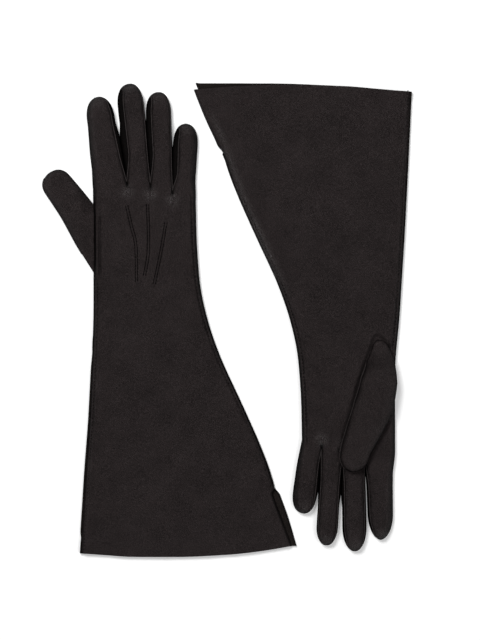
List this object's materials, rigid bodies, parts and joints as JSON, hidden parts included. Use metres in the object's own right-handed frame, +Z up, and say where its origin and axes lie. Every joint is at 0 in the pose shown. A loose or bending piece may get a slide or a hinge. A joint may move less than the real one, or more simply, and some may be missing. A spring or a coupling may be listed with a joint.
{
  "type": "pair of gauntlet gloves",
  "caption": "Pair of long leather dress gloves with flared gauntlet cuffs, side slits at the hem, sewn points on the back, fourchettes between the fingers and set-in thumbs.",
  "frame": {"origin": "centre of the pair's bounding box, on the surface that the gloves lie on", "axes": "+Z up from that surface. +Y along the gloves, towards the fingertips of the right glove and the hem of the left one. +X from the right glove, which lies back up, towards the left glove, which lies palm up."},
  "size_m": [0.3428, 0.4414, 0.0194],
  "materials": {
    "glove_leather": "satin grained near-black brown leather",
    "fourchette_leather": "satin smooth black brown leather",
    "hem_leather": "matt flesh side of the leather"
  },
  "bodies": {
    "right_gauntlet": {"right_gauntlet_back": "glove_leather", "right_gauntlet_palm": "glove_leather", "right_gauntlet_little_side_seam": "glove_leather", "right_gauntlet_thumb_side_seam": "glove_leather", "right_hem": "hem_leather"},
    "right_hand": {"right_hand_back": "glove_leather", "right_hand_palm": "glove_leather", "right_hand_little_side_seam": "glove_leather", "right_hand_thumb_side_seam": "glove_leather", "right_index_point": "glove_leather", "right_middle_point": "glove_leather", "right_ring_point": "glove_leather"},
    "right_index": {"right_index_back": "glove_leather", "right_index_palm": "glove_leather", "right_index_seam": "glove_leather", "right_index_fourchette": "fourchette_leather"},
    "right_middle": {"right_middle_back": "glove_leather", "right_middle_palm": "glove_leather", "right_middle_thumb_side_fourchette": "fourchette_leather", "right_middle_little_side_fourchette": "fourchette_leather"},
    "right_ring": {"right_ring_back": "glove_leather", "right_ring_palm": "glove_leather", "right_ring_thumb_side_fourchette": "fourchette_leather", "right_ring_little_side_fourchette": "fourchette_leather"},
    "right_little": {"right_little_back": "glove_leather", "right_little_palm": "glove_leather", "right_little_fourchette": "fourchette_leather", "right_little_seam": "glove_leather"},
    "right_thumb": {"right_thumb_back": "glove_leather", "right_thumb_palm": "glove_leather"},
    "left_gauntlet": {"left_gauntlet_back": "glove_leather", "left_gauntlet_palm": "glove_leather", "left_gauntlet_little_side_seam": "glove_leather", "left_gauntlet_thumb_side_seam": "glove_leather", "left_hem": "hem_leather"},
    "left_hand": {"left_hand_back": "glove_leather", "left_hand_palm": "glove_leather", "left_hand_little_side_seam": "glove_leather", "left_hand_thumb_side_seam": "glove_leather", "left_index_point": "glove_leather", "left_middle_point": "glove_leather", "left_ring_point": "glove_leather"},
    "left_index": {"left_index_back": "glove_leather", "left_index_palm": "glove_leather", "left_index_seam": "glove_leather", "left_index_fourchette": "fourchette_leather"},
    "left_middle": {"left_middle_back": "glove_leather", "left_middle_palm": "glove_leather", "left_middle_thumb_side_fourchette": "fourchette_leather", "left_middle_little_side_fourchette": "fourchette_leather"},
    "left_ring": {"left_ring_back": "glove_leather", "left_ring_palm": "glove_leather", "left_ring_thumb_side_fourchette": "fourchette_leather", "left_ring_little_side_fourchette": "fourchette_leather"},
    "left_little": {"left_little_back": "glove_leather", "left_little_palm": "glove_leather", "left_little_fourchette": "fourchette_leather", "left_little_seam": "glove_leather"},
    "left_thumb": {"left_thumb_palm": "glove_leather", "left_thumb_back": "glove_leather"}
  },
  "joints": [
    {"name": "left_glove_apart", "type": "slide", "parent": "right_gauntlet", "child": "left_gauntlet", "axis": [0, 0, 1], "range_m": [0, 0.3]},
    {"name": "right_wrist", "type": "hinge", "parent": "right_gauntlet", "child": "right_hand", "pos_m": [-0.073, -0.00885, 0.005], "axis": [-1, 0, 0], "range_deg": [-60, 70]},
    {"name": "right_index", "type": "hinge", "parent": "right_hand", "child": "right_index", "pos_m": [-0.1087, 0.12325, 0.005], "axis": [-0.9984, -0.0558, 0], "range_deg": [-30, 90]},
    {"name": "right_middle", "type": "hinge", "parent": "right_hand", "child": "right_middle", "pos_m": [-0.0822, 0.12325, 0.005], "axis": [-0.9984, -0.0558, 0], "range_deg": [-30, 90]},
    {"name": "right_ring", "type": "hinge", "parent": "right_hand", "child": "right_ring", "pos_m": [-0.0614, 0.12045, 0.005], "axis": [-0.9984, -0.0558, 0], "range_deg": [-30, 90]},
    {"name": "right_little", "type": "hinge", "parent": "right_hand", "child": "right_little", "pos_m": [-0.0413, 0.11205, 0.005], "axis": [-0.9984, -0.0558, 0], "range_deg": [-30, 90]},
    {"name": "right_thumb", "type": "hinge", "parent": "right_hand", "child": "right_thumb", "pos_m": [-0.1266, 0.07515, 0.005], "axis": [0, -1, 0], "range_deg": [-15, 60]},
    {"name": "left_wrist", "type": "hinge", "parent": "left_gauntlet", "child": "left_hand", "pos_m": [0.1071, 0.00885, 0.005], "axis": [-1, 0, 0], "range_deg": [-60, 70]},
    {"name": "left_index", "type": "hinge", "parent": "left_hand", "child": "left_index", "pos_m": [0.1407, -0.12325, 0.005], "axis": [-0.9994, 0.0349, 0], "range_deg": [-60, 0]},
    {"name": "left_middle", "type": "hinge", "parent": "left_hand", "child": "left_middle", "pos_m": [0.1171, -0.12325, 0.005], "axis": [-0.9994, 0.0349, 0], "range_deg": [-60, 0]},
    {"name": "left_ring", "type": "hinge", "parent": "left_hand", "child": "left_ring", "pos_m": [0.0972, -0.12045, 0.005], "axis": [-0.9994, 0.0349, 0], "range_deg": [-60, 0]},
    {"name": "left_little", "type": "hinge", "parent": "left_hand", "child": "left_little", "pos_m": [0.0781, -0.11205, 0.005], "axis": [-0.9994, 0.0349, 0], "range_deg": [-30, 90]},
    {"name": "left_thumb", "type": "hinge", "parent": "left_hand", "child": "left_thumb", "pos_m": [0.142, -0.02655, 0.0149], "axis": [-0.9711, 0.2385, 0], "range_deg": [0, 75]}
  ]
}
